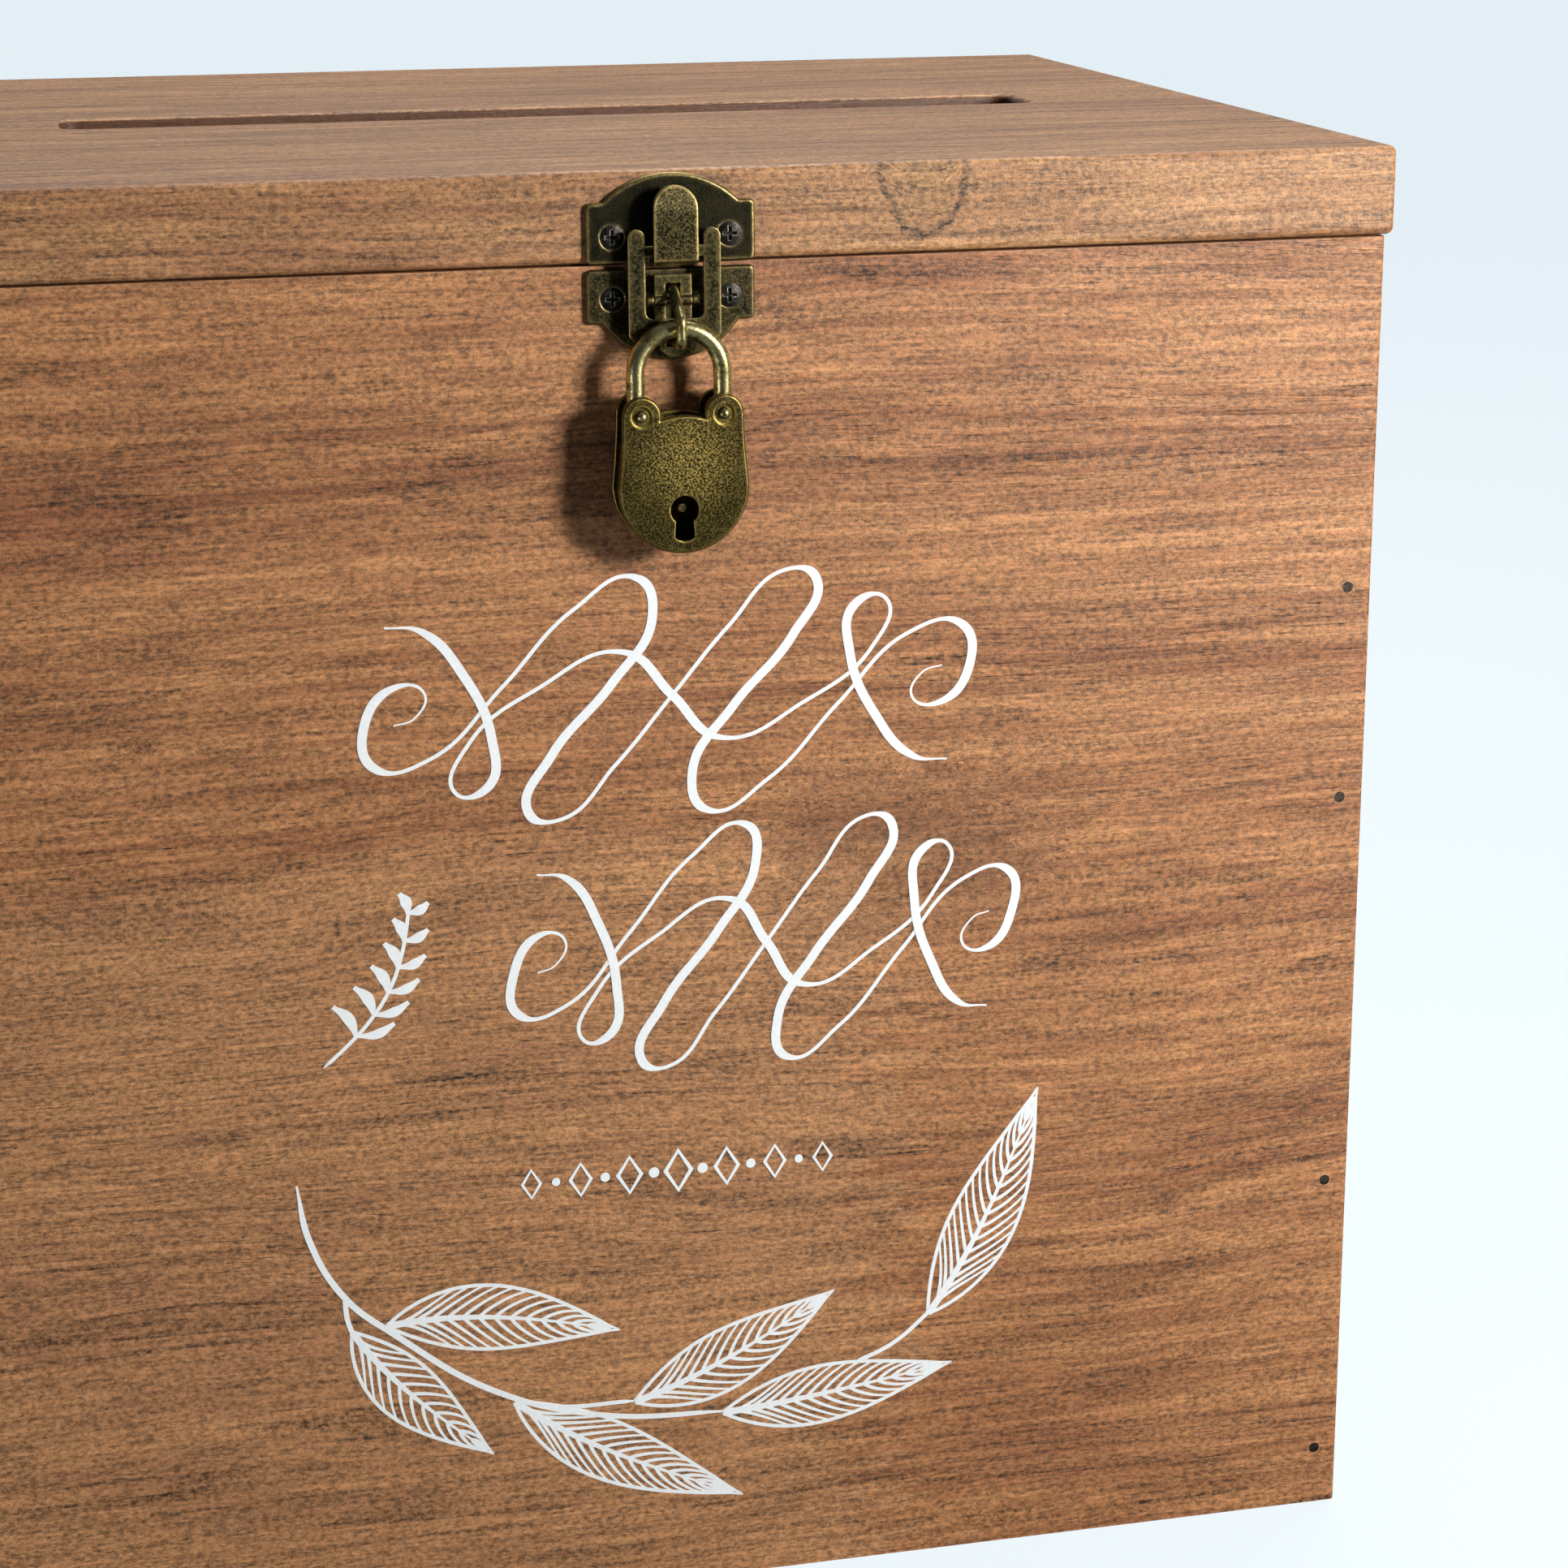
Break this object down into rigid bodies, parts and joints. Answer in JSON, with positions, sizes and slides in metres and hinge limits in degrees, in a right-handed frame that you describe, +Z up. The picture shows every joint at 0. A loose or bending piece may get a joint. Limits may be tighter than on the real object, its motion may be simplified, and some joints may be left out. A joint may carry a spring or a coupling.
{
  "type": "wedding card box",
  "caption": "Wooden wedding card box: an open-topped box under a flat hinged lid with a card slot, closed by a draw latch with a small padlock hung in its staple.",
  "frame": {"origin": "centre of the box's underside, midway between the outer faces of its walls", "axes": "+X to the right, +Y from the front (latch side) to the back (hinge side), +Z up"},
  "size_m": [0.2528, 0.2186, 0.2528],
  "materials": {
    "front_wood": "stained softwood with a thin satin varnish",
    "side_wood": "stained softwood with a thin satin varnish",
    "lid_wood": "stained softwood with a thin satin varnish",
    "brad_steel": "darkened steel",
    "antique_bronze": "antique bronze with rubbed edges",
    "lock_brass": "antique brass, finely pitted",
    "screw_bronze": "blackened",
    "white_vinyl": "matt white vinyl film"
  },
  "bodies": {
    "box": {"front_panel": "front_wood", "back_panel": "side_wood", "left_side": "side_wood", "right_side": "side_wood", "bottom_board": "side_wood", "front_brads": "brad_steel", "back_brads": "brad_steel", "bottom_brads": "brad_steel", "hinge_body_screws": "screw_bronze", "latch_base": "antique_bronze", "base_screws": "screw_bronze", "lock_staple": "lock_brass", "lever_pin": "antique_bronze", "scroll_film": "white_vinyl", "sprig_film": "white_vinyl", "hinge_body_leaf_left": "antique_bronze", "hinge_pin_left": "antique_bronze", "hinge_body_leaf_right": "antique_bronze", "hinge_pin_right": "antique_bronze"},
    "lid": {"lid_board": "lid_wood", "hinge_lid_screws": "screw_bronze", "catch_plate": "antique_bronze", "catch_screws": "screw_bronze", "hinge_lid_leaf_left": "antique_bronze", "hinge_lid_leaf_right": "antique_bronze"},
    "latch_lever": {"latch_lever": "antique_bronze", "link_pin": "antique_bronze"},
    "latch_link": {"latch_link": "antique_bronze"},
    "shackle": {"shackle": "lock_brass"},
    "lock_case": {"lock_front_plate": "lock_brass", "lock_back_plate": "lock_brass", "lock_case_band": "lock_brass", "shackle_rivet": "lock_brass", "keeper_rivet": "lock_brass", "key_post": "antique_bronze", "bolt_guide": "antique_bronze"},
    "lock_bolt": {"lock_bolt": "antique_bronze"}
  },
  "joints": [
    {"name": "lid_hinge", "type": "hinge", "parent": "box", "child": "lid", "pos_m": [0, 0.1043, 0.23765], "axis": [-1, 0, 0], "range_deg": [0, 170]},
    {"name": "lever_hinge", "type": "hinge", "parent": "box", "child": "latch_lever", "pos_m": [0, -0.10415, 0.2318], "axis": [-1, 0, 0], "range_deg": [0, 7]},
    {"name": "link_hinge", "type": "hinge", "parent": "latch_lever", "child": "latch_link", "pos_m": [0, -0.10415, 0.2274], "axis": [-1, 0, 0], "range_deg": [-5, 0]},
    {"name": "shackle_swing", "type": "hinge", "parent": "box", "child": "shackle", "pos_m": [0, -0.1083, 0.2278], "axis": [-1, 0, 0], "range_deg": [0, 85]},
    {"name": "shackle_opening", "type": "hinge", "parent": "shackle", "child": "lock_case", "pos_m": [-0.00685, -0.1083, 0.2141], "axis": [0, 1, 0], "range_deg": [0, 75]},
    {"name": "bolt_slide", "type": "slide", "parent": "lock_case", "child": "lock_bolt", "axis": [-1, 0, 0], "range_m": [0, 0.0015], "stiffness_N_per_m": 60, "springref_m": -0.001}
  ],
  "couplings": [
    {"joint": "link_hinge", "follows": "lever_hinge", "ratio": -0.651}
  ]
}
